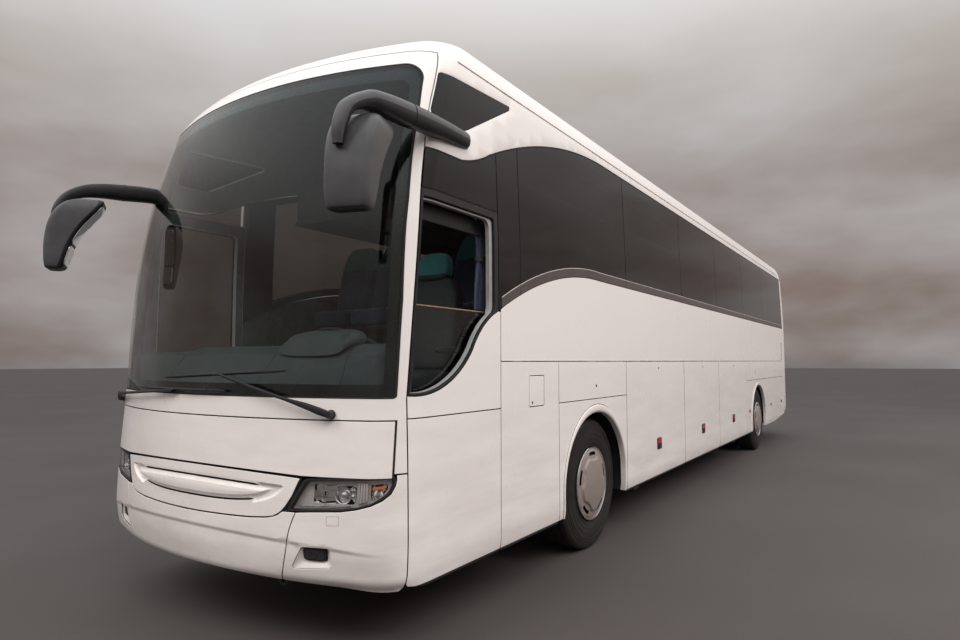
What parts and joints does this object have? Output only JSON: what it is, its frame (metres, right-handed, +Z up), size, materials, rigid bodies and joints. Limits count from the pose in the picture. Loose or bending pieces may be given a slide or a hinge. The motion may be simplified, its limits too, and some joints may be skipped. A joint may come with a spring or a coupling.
{
  "type": "touring coach bus",
  "caption": "Long single-deck touring coach with raised seating over luggage bays, curved windscreen, hanging mirrors and wheels that roll and steer.",
  "frame": {"origin": "on the floor under the middle of the bounding box", "axes": "+Z up, front of the coach towards -Y, its left side towards +X"},
  "size_m": [2.8723, 13.1737, 3.6849],
  "materials": {
    "white_paint": "gloss",
    "dark_paint": "satin",
    "tinted_glass": "gloss",
    "clear_glass": "gloss",
    "lamp_lens": "gloss",
    "red_lens": "gloss",
    "black_plastic": "matte",
    "grey_plastic": "matte",
    "tyre_rubber": "matte",
    "wheel_silver": "satin",
    "chassis_steel": "satin",
    "cast_iron": "rough",
    "floor_vinyl": "matte",
    "seat_fabric": "matte",
    "curtain_cloth": "matte"
  },
  "bodies": {
    "root": {"air_conditioning_unit": "white_paint", "chassis_frame": "chassis_steel", "curtains": "curtain_cloth", "dashboard": "grey_plastic", "driver_seat": "seat_fabric", "driver_window_frame": "black_plastic", "engine": "cast_iron", "front_axle": "cast_iron", "front_bumper": "white_paint", "front_door": "white_paint", "front_mask": "white_paint", "front_service_flap": "white_paint", "grille_panel": "white_paint", "headlights": "lamp_lens", "left_mirror": "black_plastic", "left_side_glass": "tinted_glass", "left_side_wall": "white_paint", "luggage_bay": "dark_paint", "luggage_racks": "grey_plastic", "middle_door": "white_paint", "passenger_floor": "floor_vinyl", "passenger_seats": "seat_fabric", "rear_axle": "cast_iron", "rear_bumper": "white_paint", "rear_wall": "white_paint", "rear_window": "tinted_glass", "right_mirror": "black_plastic", "right_side_glass": "tinted_glass", "right_side_wall": "white_paint", "roof": "white_paint", "tail_lights": "red_lens", "wheel_housings": "dark_paint", "window_pillars": "dark_paint", "windscreen": "clear_glass", "wipers": "black_plastic"},
    "left_steering": {"left_knuckle": "cast_iron"},
    "right_steering": {"right_knuckle": "cast_iron"},
    "front_left_wheel": {"front_left_tyre": "tyre_rubber", "front_left_rim": "wheel_silver"},
    "front_right_wheel": {"front_right_tyre": "tyre_rubber", "front_right_rim": "wheel_silver"},
    "rear_left_wheel": {"rear_left_tyres": "tyre_rubber", "rear_left_rims": "wheel_silver"},
    "rear_right_wheel": {"rear_right_tyres": "tyre_rubber", "rear_right_rims": "wheel_silver"},
    "steering_wheel": {"steering_wheel": "black_plastic"},
    "left_luggage_door_front": {"left_luggage_door_front": "white_paint"},
    "left_luggage_door_middle": {"left_luggage_door_middle": "white_paint"},
    "left_luggage_door_rear": {"left_luggage_door_rear": "white_paint"},
    "right_luggage_door_front": {"right_luggage_door_front": "white_paint"},
    "right_luggage_door_rear": {"right_luggage_door_rear": "white_paint"},
    "fuel_flap": {"fuel_flap": "white_paint"},
    "engine_door": {"engine_door": "white_paint"},
    "front_roof_hatch": {"front_roof_hatch": "white_paint"},
    "rear_roof_hatch": {"rear_roof_hatch": "white_paint"}
  },
  "joints": [
    {"name": "steer_left", "type": "hinge", "parent": "root", "child": "left_steering", "pos_m": [0.9, -3.6, 0.513], "axis": [0, 0, 1], "range_deg": [-40, 40]},
    {"name": "steer_right", "type": "hinge", "parent": "root", "child": "right_steering", "pos_m": [-0.9, -3.6, 0.513], "axis": [0, 0, 1], "range_deg": [-40, 40]},
    {"name": "front_left_roll", "type": "hinge", "parent": "left_steering", "child": "front_left_wheel", "pos_m": [1.07, -3.6, 0.513], "axis": [1, 0, 0], "continuous": true},
    {"name": "front_right_roll", "type": "hinge", "parent": "right_steering", "child": "front_right_wheel", "pos_m": [-1.07, -3.6, 0.513], "axis": [1, 0, 0], "continuous": true},
    {"name": "rear_left_roll", "type": "hinge", "parent": "root", "child": "rear_left_wheel", "pos_m": [0.925, 3.31, 0.513], "axis": [1, 0, 0], "continuous": true},
    {"name": "rear_right_roll", "type": "hinge", "parent": "root", "child": "rear_right_wheel", "pos_m": [-0.925, 3.31, 0.513], "axis": [1, 0, 0], "continuous": true},
    {"name": "steering_wheel_turn", "type": "hinge", "parent": "root", "child": "steering_wheel", "pos_m": [0.615, -5.7, 1.56], "axis": [0, 0.5, 0.866], "range_deg": [-720, 720]},
    {"name": "left_luggage_door_front_hinge", "type": "hinge", "parent": "root", "child": "left_luggage_door_front", "pos_m": [1.2755, -2.0505, 1.4875], "axis": [0, -1, 0], "range_deg": [0, 85]},
    {"name": "left_luggage_door_middle_hinge", "type": "hinge", "parent": "root", "child": "left_luggage_door_middle", "pos_m": [1.2755, -0.3335, 1.4875], "axis": [0, -1, 0], "range_deg": [0, 85]},
    {"name": "left_luggage_door_rear_hinge", "type": "hinge", "parent": "root", "child": "left_luggage_door_rear", "pos_m": [1.2755, 1.3695, 1.4875], "axis": [0, -1, 0], "range_deg": [0, 85]},
    {"name": "right_luggage_door_front_hinge", "type": "hinge", "parent": "root", "child": "right_luggage_door_front", "pos_m": [-1.2755, -2.0505, 1.4875], "axis": [0, 1, 0], "range_deg": [0, 85]},
    {"name": "right_luggage_door_rear_hinge", "type": "hinge", "parent": "root", "child": "right_luggage_door_rear", "pos_m": [-1.2755, -0.3335, 1.4875], "axis": [0, 1, 0], "range_deg": [0, 85]},
    {"name": "fuel_flap_hinge", "type": "hinge", "parent": "root", "child": "fuel_flap", "pos_m": [1.2755, -4.7385, 1.29], "axis": [0, 0, -1], "range_deg": [0, 110]},
    {"name": "engine_door_hinge", "type": "hinge", "parent": "root", "child": "engine_door", "pos_m": [0, 6.569, 1.637], "axis": [1, 0, 0], "range_deg": [0, 80]},
    {"name": "front_roof_hatch_hinge", "type": "hinge", "parent": "root", "child": "front_roof_hatch", "pos_m": [0, -3.06, 3.533], "axis": [1, 0, 0], "range_deg": [0, 60]},
    {"name": "rear_roof_hatch_hinge", "type": "hinge", "parent": "root", "child": "rear_roof_hatch", "pos_m": [0, 3.44, 3.533], "axis": [1, 0, 0], "range_deg": [0, 60]}
  ],
  "couplings": [
    {"joint": "steer_right", "follows": "steer_left", "ratio": 1},
    {"joint": "steering_wheel_turn", "follows": "steer_left", "ratio": 18}
  ]
}
